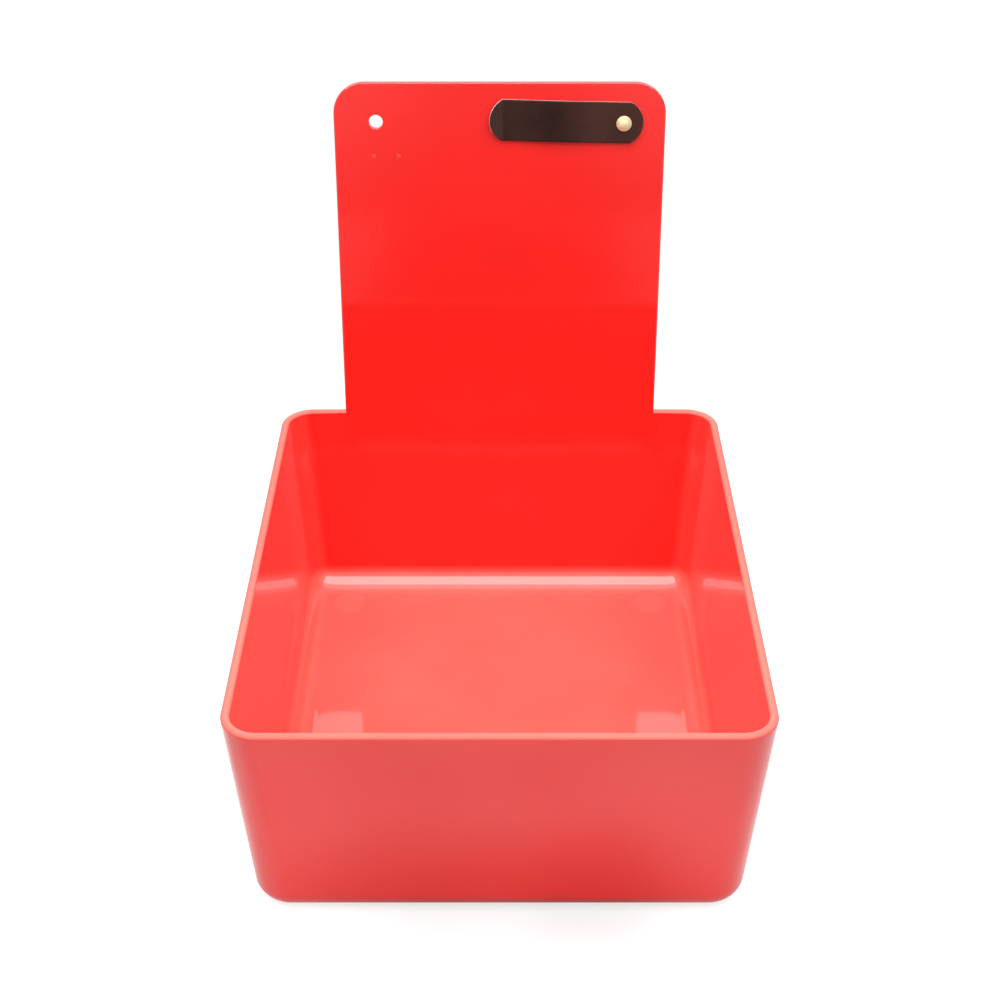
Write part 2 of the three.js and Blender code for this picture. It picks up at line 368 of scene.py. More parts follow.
def close_tree(tree, source, geometry):
    """Welds the seams, smooths, makes instances real, paints and ends the tree."""
    steps = {
        "MergeByDistance": {"Distance": WELD},
        "SetShadeSmooth": {},
        "RealizeInstances": {},
        "SetMaterial": {"Material": source.outputs["Material"]},
    }
    for kind, values in steps.items():
        node = new_node(tree, "GeometryNode" + kind, {0: geometry, **values})
        geometry = node.outputs[0]
    new_node(tree, "NodeGroupOutput", {0: geometry})
    return tree


def labelled(group, names, prefix=""):
    """Sizes for a tree: each input is called what the setting is, without the prefix."""
    return {
        name.removeprefix(prefix).replace("_", " ").title(): getattr(settings(group), name)
        for name in names
    }


def grid_of(tree, columns, rows):
    """A grid with numbered points: returns its mesh and each point's column and row."""
    grid = tree.nodes.new("GeometryNodeMeshGrid")
    for axis, cells in (("X", columns), ("Y", rows)):
        plug_all(grid, {"Size " + axis: cells, "Vertices " + axis: cells + 1})
    place = tree.nodes.new("GeometryNodeInputPosition")
    x, y, _ = xyz_of(tree, place.outputs[0])
    column = (x + columns / 2).of("ROUND")
    row = (y + rows / 2).of("ROUND")
    return grid.outputs["Mesh"], column, row


def placed(tree, mesh, x, y, z):
    """Every point of the mesh at the place that its x, y and z give."""
    point = node_wire(tree, "ShaderNodeCombineXYZ", {0: x, 1: y, 2: z})
    given = {"Geometry": mesh, "Position": point}
    return new_node(tree, "GeometryNodeSetPosition", given).outputs[0]


def drafted_tray_tree(sizes):
    """The tray as one skin of levels: underside, outer walls, rim, inner walls, floor.

    Each column of the grid runs from the middle of the underside over the rim to the
    middle of the floor, and each row is a rounded rectangle.
    """
    tree, source, size = open_tree("Drafted tray", sizes)
    corner_steps = size["Corner Steps"]
    fillet_steps = size["Fillet Steps"]
    rim_start = fillet_steps + 1
    last = 2 * fillet_steps + size["Rim Steps"] + 2
    mesh, column, row = grid_of(tree, 4 * (corner_steps + 1), last + 2)
    level = row - 1
    middle = (level < -0.5) + (level > last + 0.5)
    level = level.at_least(0).at_most(last)
    inner = level > rim_start + size["Rim Steps"] + 0.5
    rim = (level > fillet_steps + 0.5) - inner

    turn = between(level, last - level, inner) / fillet_steps * RIGHT_ANGLE
    fillet = between(size["Base Edge Radius"], size["Floor Fillet"], inner)
    foot = inner * size["Floor"]
    inset = inner * size["Wall"]
    rim_centre = size["Tray Height"] - size["Wall"] / 2
    rise = rim_centre - foot
    height = fillet * (1 - turn.of("COSINE"))
    rim_turn = (level - rim_start) / size["Rim Steps"] * math.pi
    rim_inset = size["Wall"] / 2 * (1 - rim_turn.of("COSINE"))

    def reach(at_rim, draft):
        """How far a wall stands out: on its drafted line, and with its foot's fillet."""
        slope = draft.of("TANGENT")
        line = at_rim - inset - (rise - height) * slope
        half_turn = (RIGHT_ANGLE - draft) / 2
        centre = at_rim - inset - rise * slope - fillet * half_turn.of("TANGENT")
        below = fillet - height
        curve = (fillet * fillet - below * below).at_least(0).of("SQRT")
        straight = height > fillet * (1 - draft.of("SINE")) - WELD
        wall = between(centre + curve, line, straight)
        return line, between(wall, at_rim - rim_inset, rim)

    side_line, half = reach(size["Rim Width"] / 2, size["Side Draft"])
    _, front = reach(size["Rim Depth"] / 2, size["Front Draft"])
    _, back = reach(size["Rim Depth"] / 2, size["Back Draft"])
    curled = size["Corner Radius"] - inset - (side_line - half)
    rounded = size["Corner Radius"] - rim_inset
    radius = between(curled, rounded, rim).at_least(size["Wall"] / 4)

    corner = ((column + 0.5) / (corner_steps + 1)).of("FLOOR")
    step = column - corner * (corner_steps + 1)
    corner = maths(tree, "MODULO", corner, 4)
    bearing = (corner - 1 + step / corner_steps) * RIGHT_ANGLE
    to_right = 2 * (corner < 1.5) - 1
    behind = (corner - 1.5).of("ABSOLUTE") < 1
    out = 1 - middle
    x = to_right * (half - radius) + radius * bearing.of("COSINE")
    y = between(radius - front, back - radius, behind) + radius * bearing.of("SINE")
    z = between(foot + height, rim_centre + size["Wall"] / 2 * rim_turn.of("SINE"), rim)
    return close_tree(tree, source, placed(tree, mesh, x * out, y * out, z))


def turned_tree():
    """Turns a profile of radii and distances in front of the panel round its axis."""
    tree, source, size = open_tree("Turned piece", {"Steps": 64})
    profile = node_wire(tree, "GeometryNodeMeshToCurve", {0: source.outputs["Geometry"]})
    given = {"Resolution": size["Steps"], "Radius": WELD / 10}
    ring = node_wire(tree, "GeometryNodeCurvePrimitiveCircle", given)
    given = {"Curve": ring, "Profile Curve": profile}
    sweep = new_node(tree, "GeometryNodeCurveToMesh", given)
    return close_tree(tree, source, sweep.outputs[0])


def sprung_leaf_tree(sizes):
    """The middle surface of a spring leaf: clamped heel, bow, pressing line and lip."""
    tree, source, size = open_tree("Sprung leaf", sizes)
    mesh, column, row = grid_of(tree, size["Steps"], size["Rows"])
    half_width = size["Width"] / 2
    across = (row / size["Rows"] * 2 - 1) * half_width
    end = size["End Radius"]
    sagitta = end - (end * end - across * across).of("SQRT")
    heel = size["Heel"] - sagitta
    tip = size["Heel"] - size["Length"] + sagitta
    x = between(tip, heel, column / size["Steps"])

    clamp_edge = size["Clamp"] * -1
    bend = size["Lip Bend Radius"]
    bend_run = bend * size["Lip Angle"].of("SINE")
    bend_start = size["Heel"] - size["Length"] + size["Lip Length"]
    span = clamp_edge - bend_start
    along = ((clamp_edge - x) / span).at_least(0).at_most(1)
    settle = along * along * (3 - 2 * along)
    wave = (along * math.pi).of("SINE")
    rest = between(size["Standoff"], size["Touch Gap"], settle) + size["Bow"] * wave * wave
    past = (bend_start - x).at_least(0)
    in_bend = past.at_most(bend_run)
    lift = bend - (bend * bend - in_bend * in_bend).of("SQRT")
    lip = (past - in_bend) * size["Lip Angle"].of("TANGENT")
    forward = (rest + size["Thickness"] / 2 + lift + lip) * -1
    return close_tree(tree, source, placed(tree, mesh, x, forward, across))


# Making meshes


def linked(name, mesh):
    piece = bpy.data.objects.new(name, mesh)
    bpy.context.scene.collection.objects.link(piece)
    return piece


def settled(piece):
    """Works a piece's modifiers out to a plain mesh."""
    bpy.context.view_layer.update()
    graph = bpy.context.evaluated_depsgraph_get()
    mesh = bpy.data.meshes.new_from_object(
        piece.evaluated_get(graph), preserve_all_data_layers=True, depsgraph=graph
    )
    piece.modifiers.clear()
    piece.data = mesh
    mesh.name = piece.name
    return piece


def grown(name, tree, values, material, start=None):
    """A plain mesh made by a Geometry Nodes tree from its named sizes."""
    piece = linked(name, start or bpy.data.meshes.new(name))
    modifier = piece.modifiers.new(tree.name, "NODES")
    modifier.node_group = tree
    given = dict(values, Material=material)
    for item in tree.interface.items_tree:
        if item.item_type == "SOCKET" and item.in_out == "INPUT" and item.name in given:
            modifier[item.identifier] = given[item.name]
    return settled(piece)


def outward(piece):
    """Faces point outwards, and edges sharper than the angle are shaded sharp."""
    shape = bmesh.new()
    shape.from_mesh(piece.data)
    bmesh.ops.remove_doubles(shape, verts=shape.verts, dist=WELD)
    bmesh.ops.recalc_face_normals(shape, faces=shape.faces)
    shape.to_mesh(piece.data)
    shape.free()
    piece.data.shade_smooth()
    piece.data.set_sharp_from_angle(angle=SHARP_EDGE)
    return piece


def cut(piece, other, operation):
    """Joins the other solid to the piece, or takes it away, and drops the other."""
    modifier = piece.modifiers.new(operation, "BOOLEAN")
    modifier.operation = operation
    modifier.solver = "EXACT"
    modifier.object = other
    settled(piece)
    bpy.data.objects.remove(other)
    return piece


def with_flat_faces_true(piece):
    """Shades each rounding so that the flats beside it stay flat."""
    modifier = piece.modifiers.new("Flats stay flat", "WEIGHTED_NORMAL")
    modifier.weight = 100
    modifier.keep_sharp = True
    return settled(piece)


def turned(name, profile, material, place):
    """A piece turned from a profile of radii and distances in front of the panel."""
    line = bpy.data.meshes.new(name)
    points = [(radius, front, 0) for radius, front in profile]
    line.from_pydata(points, [(i, i + 1) for i in range(len(points) - 1)], [])
    tree = bpy.data.node_groups.get("Turned piece") or turned_tree()
    steps = settings("fineness").turned_steps
    piece = grown(name, tree, {"Steps": steps}, material, line)
    piece.data.transform(place @ Matrix.Rotation(-RIGHT_ANGLE, 4, "X"))
    return outward(piece)


def arc(centre, radii, start_degrees, end_degrees, steps):
    """Points of an arc for a profile."""
    sweep = end_degrees - start_degrees
    bearings = [math.radians(start_degrees + sweep * i / steps) for i in range(steps + 1)]
    return [
        (
            centre[0] + radii[0] * math.cos(bearing),
            centre[1] + radii[1] * math.sin(bearing),
        )
        for bearing in bearings
    ]


def panel_plane():
    """The inner back wall's plane, with its origin in the middle at the rim's top."""
    pan = settings("pan")
    lean = pan.back_draft
    inner_back = pan.rim_depth / 2 - pan.wall + pan.wall / 2 * math.tan(lean)
    place = Matrix.Translation((0, inner_back, pan.tray_height))
    return place @ Matrix.Rotation(-lean, 4, "X")


def hole_place(side):
    """The middle of the left or right hole, on the panel's front."""
    pan = settings("pan")
    up = pan.panel_height - pan.hole_drop
    return panel_plane() @ Matrix.Translation((side * pan.hole_spacing / 2, 0, up))


def clip_plane():
    """The panel's plane turned as the clip is, with its origin on the rivet's axis."""
    return hole_place(1) @ Matrix.Rotation(settings("clip").clip_tilt, 4, "Y")


def head_seat():
    """From the panel's front to the underside of the rivet's head."""
    clip = settings("clip")
    return clip.leaf_standoff + clip.leaf_thickness + clip.head_gap


# Shader node groups


def open_group(name, numbers, output, kind="NodeSocketFloat"):
    """A shader node group: returns it, its number inputs' wires and its output's socket."""
    group = bpy.data.node_groups.new(name, "ShaderNodeTree")
    sockets = group.interface
    for label, value in numbers.items():
        socket = sockets.new_socket(label, in_out="INPUT", socket_type="NodeSocketFloat")
        socket.default_value = value
    sockets.new_socket(output, in_out="OUTPUT", socket_type=kind)
    source = group.nodes.new("NodeGroupInput")
    sink = group.nodes.new("NodeGroupOutput")
    wires = {label: Wire(group, source.outputs[label]) for label in numbers}
    return group, wires, sink.inputs[output]


def object_points(tree, stretch=(1, 1, 1), turn=(0, 0, 0)):
    """The point on the object in metres, stretched and turned for a pattern."""
    place = tree.nodes.new("ShaderNodeTexCoord").outputs["Object"]
    given = {"Scale": stretch, "Rotation": turn, "Vector": place}
    return node_wire(tree, "ShaderNodeMapping", given)


def noise(tree, points, scale, detail=2.0, roughness=0.5):
    """Noise over the points; scale is in features a metre."""
    given = {"Vector": points, "Scale": scale, "Detail": detail, "Roughness": roughness}
    return node_wire(tree, "ShaderNodeTexNoise", given)


def ramp(wire, low, high):
    """0 below low and 1 above high, with a smooth rise."""
    given = {"Value": wire, "From Min": low, "From Max": high}
    kind = "ShaderNodeMapRange"
    return node_wire(wire.tree, kind, given, interpolation_type="SMOOTHSTEP")


def surface(tree):
    """Where the surface faces and where it is: x, y and z wires of each."""
    facing = tree.nodes.new("ShaderNodeNewGeometry").outputs["Normal"]
    return xyz_of(tree, facing), xyz_of(tree, object_points(tree))


def hairline_group():
    """Hairline scratches in three directions, each a thin ridge of stretched noise."""
    numbers = {"Density": 0.3, "Scale": 60.0}
    group, given, output = open_group("Hairline scratches", numbers, "Scratches")
    directions = []
    for turn, stretch in ((0.35, 1.0), (1.45, 0.7), (2.55, 1.3)):
        points = object_points(group, (0.09, 1.0, 1.0), (0.2 * turn, 0.15, turn))
        lines = noise(group, points, given["Scale"] * (8 * stretch), 1.0)
        thin = 1 - ramp((lines - 0.5).of("ABSOLUTE"), 0.0, 0.006)
        blotches = noise(group, object_points(group), given["Scale"] * stretch, 2.0)
        here = ramp(blotches, 0.72 - given["Density"] * 0.3, 0.76 - given["Density"] * 0.2)
        directions.append(thin * here)
    plug(output, largest(directions))
    return group


def mottle_group():
    """Slow cloudy variation between 0 and 1."""
    numbers = {"Scale": 25.0, "Contrast": 0.3}
    group, given, output = open_group("Mottle", numbers, "Mottle")
    clouds = noise(group, object_points(group), given["Scale"], 3.0, 0.55)
    plug(output, ramp(clouds, 0.5 - given["Contrast"], 0.5 + given["Contrast"]))
    return group


def dust_and_top_light_group():
    """Fine dust specks on faces which look up, and a pale haze there that is painted light
    from above.
    """
    numbers = {"Haze": 0.3, "Specks": 0.3, "Scale": 900.0, "Top": 0.065}
    group, given, output = open_group("Settled dust", numbers, "Dust")
    (_, _, up), (_, _, height) = surface(group)
    level = ramp(up, 0.13, 0.55) * (1 - ramp(height, given["Top"], given["Top"] + 0.01))
    grain = noise(group, object_points(group), given["Scale"], 2.0, 0.6)
    specks = ramp(grain, 0.70, 0.76) * given["Specks"]
    clouds = noise(group, object_points(group), given["Scale"] / 30, 2.0)
    haze = given["Haze"] * (clouds * 0.5 + 0.75)
    plug(output, (level * (haze + specks)).at_most(1))
    return group


def painted_corner_sheen_group():
    """A painted pale sheen in the tray's inner corners and fillets, most of it at the
    sides: a painted reflection.
    """
    numbers = {"Start": 0.054, "Full": 0.0572, "Slope": 0.07}
    group, given, output = open_group("Corner dust", numbers, "Dust")
    (right, behind, up), (x, y, height) = surface(group)
    inside = (right * x + behind * y) < 0
    aside = right.of("ABSOLUTE")
    turning = 1 - ramp(aside, 0.988, 0.997)
    beside = between(0.625, 1.0, ramp(aside, 0.75, 0.97))
    near = ramp(x.of("ABSOLUTE") - height * given["Slope"], given["Start"], given["Full"])
    facing_up_share = between(0.5, 0.62, ramp(up, 0.05, 0.3))
    plug(output, near * turning * beside * inside * facing_up_share)
    return group


def rim_wear_group():
    """Scuffs on the faces near one height that look up or outwards."""
    numbers = {"Top": 0.06, "Band": 0.001, "Scale": 300.0}
    group, given, output = open_group("Rim wear", numbers, "Wear")
    (right, behind, up), (x, y, height) = surface(group)
    outside = (right * x + behind * y) > 0
    away = (height - given["Top"]).of("ABSOLUTE")
    near = 1 - ramp(away, given["Band"] * 0.5, given["Band"])
    rubs = noise(group, object_points(group, (0.25, 0.25, 1.0)), given["Scale"], 3.0)
    facing_up = ramp(up + outside * 0.2, 0.14, 0.45)
    plug(output, (near * facing_up * (rubs * 0.6 + 0.7)).at_most(1))
    return group


def skin_group():
    """Bump of a moulded or rolled skin: slow waviness, fine grain and scratches."""
    numbers = {
        "Wave": 0.5,
        "Wave Scale": 60.0,
        "Grain": 0.1,
        "Grain Scale": 1500.0,
        "Scratch": 0.0,
    }
    group, given, output = open_group("Skin", numbers, "Normal", "NodeSocketVector")
    waves = noise(group, object_points(group), given["Wave Scale"], 1.0)
    grain = noise(group, object_points(group), given["Grain Scale"], 2.0)
    height = waves * given["Wave"] + grain * given["Grain"] - given["Scratch"] * 0.3
    bump = {"Strength": 1.0, "Distance": BUMP_DEPTH, "Height": height}
    plug(output, node_wire(group, "ShaderNodeBump", bump))
    return group


GROUPS = {
    "Hairline scratches": hairline_group,
    "Mottle": mottle_group,
    "Settled dust": dust_and_top_light_group,
    "Corner dust": painted_corner_sheen_group,
    "Rim wear": rim_wear_group,
    "Skin": skin_group,
}


def effect(tree, name, **values):
    """Places a shared effect with a material's own values, and returns what it gives."""
    shared = bpy.data.node_groups.get(name) or GROUPS[name]()
    given = {label.replace("_", " "): value for label, value in values.items()}
    return node_wire(tree, "ShaderNodeGroup", given, node_tree=shared)


# Materials


# Sockets of the Mix node when it blends colours
MIX_A, MIX_B, MIX_RESULT = 6, 7, 2

# Ejector pin marks on the tray's floor, in metres
PIN_RADIUS = 0.0052
PIN_PLACES = [(side * 0.048, y) for side in (-1, 1) for y in (-0.0585, 0.0585)]

# Raised dots on the panel's front: across, in front and up from the rim
PIP_RADIUS = 0.0008
PIP_PLACES = [(-0.0363, 0, 0.0798), (-0.0291, 0, 0.0798)]

# How far from the tray's middle the painted pale sheen begins beside the floor, and is at
# its fullest
PAINTED_CORNER_SHEEN = (0.054, 0.0572)

# How far below the rim the scuffs end
RIM_BAND = 2.4 * MM

# Where the leaf's colour gets lighter towards the rivet: from and to, across the pan
LEAF_FADE = (0.014, 0.03)

# Where a highlight is painted on the rivet's head: below its middle, and as a share of its
# diameter; outside it the brass is painted darker, as shade
PAINTED_HIGHLIGHT_DROP = 0.8 * MM
PAINTED_HIGHLIGHT_SHARE = 0.6


def new_material(name):
    material = bpy.data.materials.new(name)
    material.use_nodes = True
    tree = material.node_tree
    return material, tree, tree.nodes["Principled BSDF"]


def blended(tree, how_far, first, second):
    """Colour between two colours or colour wires."""
    given = {0: how_far, MIX_A: first, MIX_B: second}
    return node_wire(tree, "ShaderNodeMix", given, MIX_RESULT, data_type="RGBA")


def oval(x, y, centre, radii):
    """How far out a point lies, 1 on the line of an oval."""
    across = (x - centre[0]) / radii[0]
    along = (y - centre[1]) / radii[1]
    return (across * across + along * along).of("SQRT")


def rgba(rgb, brightness=1.0):
    return [min(1.0, channel * brightness) for channel in rgb] + [1.0]


def grey(brightness):
    return rgba((brightness, brightness, brightness))


def pin_marks(tree, places, radius):
    """Flat round marks of the ejector pins on the floor, and a fine ring round each."""
    x, y, _ = xyz_of(tree, object_points(tree))
    away = [oval(x, y, place, (radius, radius)) for place in places]
    disc = largest([1 - ramp(far, 0.94, 1.04) for far in away])
    ring = largest([1 - ramp((far - 1).of("ABSOLUTE"), 0.0, 0.06) for far in away])
    return disc, ring


def spots(tree, places, radius):
    """Round spots: 1 at the places and 0 beyond the radius."""
    points = object_points(tree)
    dots = []
    for place in places:
        given = {0: points, 1: place}
        away = node_wire(tree, "ShaderNodeVectorMath", given, "Value", operation="DISTANCE")
        dots.append(1 - ramp(away, radius * 0.4, radius))
    return largest(dots)


def red_plastic():
    finish = settings("finishes")
    pan = settings("pan")
    material, tree, shader = new_material("red_plastic")
    mottle = effect(tree, "Mottle", Scale=22.0, Contrast=0.3)
    scratches = effect(tree, "Hairline scratches", Density=0.35, Scale=45.0)
    # Dust specks, and a pale haze on faces that look up: painted light from the overhead
    # softbox
    dust_and_top_light = effect(tree, "Settled dust", Haze=finish.haze_amount, Specks=0.05)
    start, full = PAINTED_CORNER_SHEEN
    slope = math.tan(pan.side_draft)
    # A painted pale reflection along the tray's side fillets
    corner_sheen = effect(tree, "Corner dust", Start=start, Full=full, Slope=slope)
    # dust holds dust specks, the painted top light and the painted corner sheen
    dust = dust_and_top_light + corner_sheen * finish.painted_corner_sheen
    disc, ring = pin_marks(tree, PIN_PLACES, PIN_RADIUS)
    pips = spots(tree, [panel_plane() @ Vector(place) for place in PIP_PLACES], PIP_RADIUS)
    wear = effect(tree, "Rim wear", Top=pan.tray_height, Band=RIM_BAND)
    rim_scuffs_and_pips = wear * finish.rim_wear + pips * finish.pip_paleness
    pale = (dust + disc * dust * finish.pin_dust + rim_scuffs_and_pips).at_most(1)
    body = blended(tree, mottle, rgba(finish.plastic, 0.96), rgba(finish.plastic, 1.04))
    rough = finish.plastic_roughness + mottle * 0.02 + scratches * 0.18 + wear * 0.9
    marks = scratches * 0.05 + ring * 0.25 - pips
    skin = {"Wave": 0.35, "Wave_Scale": 45.0, "Grain": 0.01, "Scratch": marks}
    looks = {
        "Base Color": blended(tree, pale, body, rgba(finish.plastic_haze)),
        "Roughness": rough + disc * 0.04,
        "IOR": 1.59,
        "Sheen Weight": finish.sheen,
        "Sheen Roughness": 0.35,
        "Sheen Tint": (1.0, 0.62, 0.56, 1.0),
        "Normal": effect(tree, "Skin", **skin),
    }
    plug_all(shader, looks)
    return material


def blacked_steel():
    finish = settings("finishes")
    material, tree, shader = new_material("blacked_spring_steel")
    mottle = effect(tree, "Mottle", Scale=70.0, Contrast=0.25)
    scratches = effect(tree, "Hairline scratches", Density=0.5, Scale=150.0)
    body = blended(tree, mottle, rgba(finish.steel, 0.7), rgba(finish.steel, 1.3))
    x, _, _ = xyz_of(tree, object_points(tree))
    body = blended(tree, ramp(x, *LEAF_FADE), body, rgba(finish.steel, 1.7))
    grain = {"Grain": 0.05, "Grain_Scale": 6000.0, "Scratch": scratches * 0.1}
    looks = {
        "Base Color": blended(tree, scratches * 0.2, body, rgba(finish.steel, 2.5)),
        "Metallic": 0.6,
        "Roughness": 0.22 + mottle * 0.04 + scratches * 0.1,
        "Normal": effect(tree, "Skin", Wave=0.25, Wave_Scale=180.0, **grain),
    }
    plug_all(shader, looks)
    return material


def bare_edge():
    finish = settings("finishes")
    material, tree, shader = new_material("blacked_spring_steel_cut_edge")
    mottle = effect(tree, "Mottle", Scale=500.0, Contrast=0.2)
    worn = blended(tree, mottle, rgba(finish.steel_edge, 0.6), rgba(finish.steel_edge))
    rough = 0.42 + mottle * 0.15
    plug_all(shader, {"Base Color": worn, "Metallic": 0.2, "Roughness": rough})
    return material


def brass():
    finish = settings("finishes")
    clip = settings("clip")
    material, tree, shader = new_material("brass")
    mottle = effect(tree, "Mottle", Scale=700.0, Contrast=0.22)
    scratches = effect(tree, "Hairline scratches", Density=0.6, Scale=400.0)
    bright = blended(tree, mottle, rgba(finish.brass), rgba(finish.brass, 0.82))
    crown = head_seat() + clip.head_height
    place = clip_plane() @ Vector((0, -crown, -PAINTED_HIGHLIGHT_DROP))
    # A painted highlight on the head; outside it the brass is painted darker as shade, and
    # scratches dull it as tarnish
    painted_highlight = spots(tree, [place], clip.head_diameter * PAINTED_HIGHLIGHT_SHARE)
    shade_and_scratches = ((1 - painted_highlight) * 0.55 + scratches * 0.4).at_most(1)
    grain = {"Grain": 0.05, "Grain_Scale": 5000.0, "Scratch": scratches * 0.2}
    looks = {
        "Base Color": blended(tree, shade_and_scratches, bright, rgba(finish.tarnish_and_shade)),
        "Metallic": 0.3,
        "Specular IOR Level": 0.3,
        "Roughness": 0.48 + mottle * 0.08 + scratches * 0.1,
        "Normal": effect(tree, "Skin", Wave=1.2, Wave_Scale=420.0, **grain),
    }
    plug_all(shader, looks)
    return material


def plated_steel():
    finish = settings("finishes")
    material, tree, shader = new_material("plated_steel")
    mottle = effect(tree, "Mottle", Scale=420.0, Contrast=0.25)
    scratches = effect(tree, "Hairline scratches", Density=0.6, Scale=300.0)
    grain = {"Grain": 0.08, "Grain_Scale": 5000.0, "Scratch": scratches * 0.2}
    looks = {
        "Base Color": blended(tree, mottle, rgba(finish.washer, 0.85), rgba(finish.washer)),
        "Metallic": 1.0,
        "Roughness": 0.3 + mottle * 0.15 + scratches * 0.15,
        "Normal": effect(tree, "Skin", Wave=0.2, Wave_Scale=300.0, **grain),
    }
    plug_all(shader, looks)
    return material


# Pieces


TRAY_SIZES = (
    "rim_width rim_depth tray_height wall floor side_draft front_draft back_draft"
    " corner_radius base_edge_radius floor_fillet"
).split()
LEAF_SIZES = (
    "leaf_length leaf_width leaf_thickness leaf_end_radius leaf_heel leaf_standoff"
    " leaf_touch_gap leaf_bow lip_length lip_bend_radius lip_angle"
).split()

# Where a lifted leaf stops bending, as a share of its length from the heel
LEAF_BEND_END = 0.75


def panel_plate():
    """The back panel as a closed plate with rounded edges, in its own plane."""
    pan = settings("pan")
    fine = settings("fineness")
    steps = fine.panel_corner_steps
    half = pan.panel_width / 2
    corner = pan.panel_corner_radius
    top = pan.panel_height
    outline = [(-half, -pan.panel_root), (half, -pan.panel_root)]
    outline += arc((half - corner, top - corner), (corner, corner), 0, 90, steps)
    outline += arc((corner - half, top - corner), (corner, corner), 90, 180, steps)
    shape = bmesh.new()
    proud = 0.005 * MM
    ring = [shape.verts.new((x, -proud, z)) for x, z in outline]
    face = shape.faces.new(ring)
    solid = bmesh.ops.extrude_face_region(shape, geom=[face])
    moved = [v for v in solid["geom"] if isinstance(v, bmesh.types.BMVert)]
    bmesh.ops.translate(shape, verts=moved, vec=(0, pan.panel_thickness + proud, 0))
    bmesh.ops.recalc_face_normals(shape, faces=shape.faces)
    edges = [e for e in shape.edges if abs(e.verts[0].co.y - e.verts[1].co.y) < WELD]
    bmesh.ops.bevel(
        shape,
        geom=edges,
        offset=pan.panel_edge_radius,
        segments=fine.panel_edge_steps,
        profile=0.5,
        affect="EDGES",
    )
    mesh = bpy.data.meshes.new("panel_plate")
    shape.to_mesh(mesh)
    shape.free()
    mesh.transform(panel_plane())
    return linked("panel_plate", mesh)


def hole_cutter(side):
    """A cutter that leaves a hole with rounded edges on both faces of the panel."""
    pan = settings("pan")
    steps = settings("fineness").hole_edge_steps
    radius = pan.hole_diameter / 2
    edge = pan.hole_edge_radius
    back = -pan.panel_thickness
    beyond = 2 * MM
    profile = [(0, beyond), (radius + edge, beyond)]
    profile += arc((radius + edge, -edge), (-edge, edge), 90, 0, steps)
    profile += arc((radius + edge, back + edge), (-edge, -edge), 0, 90, steps)
    profile += [(radius + edge, back - beyond), (0, back - beyond)]
    return turned("hole_cutter", profile, None, hole_place(side))


class WORKPAN_OT_pan(Operator):
    """Build the moulded pan: drafted tray, back panel and its two holes"""

    bl_idname = "workpan.pan"
    bl_label = "Moulded Pan"

    def execute(self, context):
        sizes = labelled("pan", TRAY_SIZES)
        sizes.update(labelled("fineness", ("corner_steps", "fillet_steps", "rim_steps")))
        material = red_plastic()
        shell = grown("moulded_pan", drafted_tray_tree(sizes), sizes, material)
        outward(shell)
        cut(shell, panel_plate(), "UNION")
        for side in (-1, 1):
            cut(shell, hole_cutter(side), "DIFFERENCE")
        shell.data.materials.clear()
        shell.data.materials.append(material)
        outward(shell)
        with_flat_faces_true(shell)
        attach(shell, "pan")
        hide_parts("pan")
        return {"FINISHED"}


class WORKPAN_OT_clip_leaf(Operator):
    """Build the blacked spring leaf with its turned-out lip and bare cut edges"""

    bl_idname = "workpan.clip_leaf"
    bl_label = "Clip Leaf"

    def execute(self, context):
        clip = settings("clip")
        fine = settings("fineness")
        sizes = labelled("clip", LEAF_SIZES, "leaf_")
        sizes["Clamp"] = clip.head_diameter / 2 + clip.leaf_standoff
        sizes.update(labelled("fineness", ("leaf_steps", "leaf_rows"), "leaf_"))
        leaf = grown("spring_leaf", sprung_leaf_tree(sizes), sizes, blacked_steel())
        leaf.data.materials.append(bare_edge())
        sheet = leaf.modifiers.new("Sheet", "SOLIDIFY")
        sheet.thickness = clip.leaf_thickness
        sheet.offset = 0
        sheet.use_even_offset = True
        sheet.material_offset_rim = 1
        settled(leaf)
        outward(leaf)
        edges = leaf.modifiers.new("Tumbled edges", "BEVEL")
        edges.width = clip.leaf_edge_radius
        edges.segments = fine.leaf_edge_steps
        edges.limit_method = "ANGLE"
        edges.angle_limit = TUMBLED_EDGE
        edges.material = 1
        settled(leaf)
        bore = clip.shank_diameter / 2 + clip.bore_clearance
        reach = 4 * MM
        profile = [(0, reach), (bore, reach), (bore, -reach), (0, -reach)]
        cut(leaf, turned("punch", profile, None, Matrix.Identity(4)), "DIFFERENCE")
        leaf.data.transform(clip_plane())
        outward(leaf)
        with_flat_faces_true(leaf)
        start = clip_plane() @ Vector((-clip.head_diameter / 2, 0, 0))
        bend_end = clip.leaf_heel - clip.leaf_length * LEAF_BEND_END
        end = clip_plane() @ Vector((bend_end, 0, 0))
        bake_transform(leaf)
        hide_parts("clip_leaf")
        return {"FINISHED"}


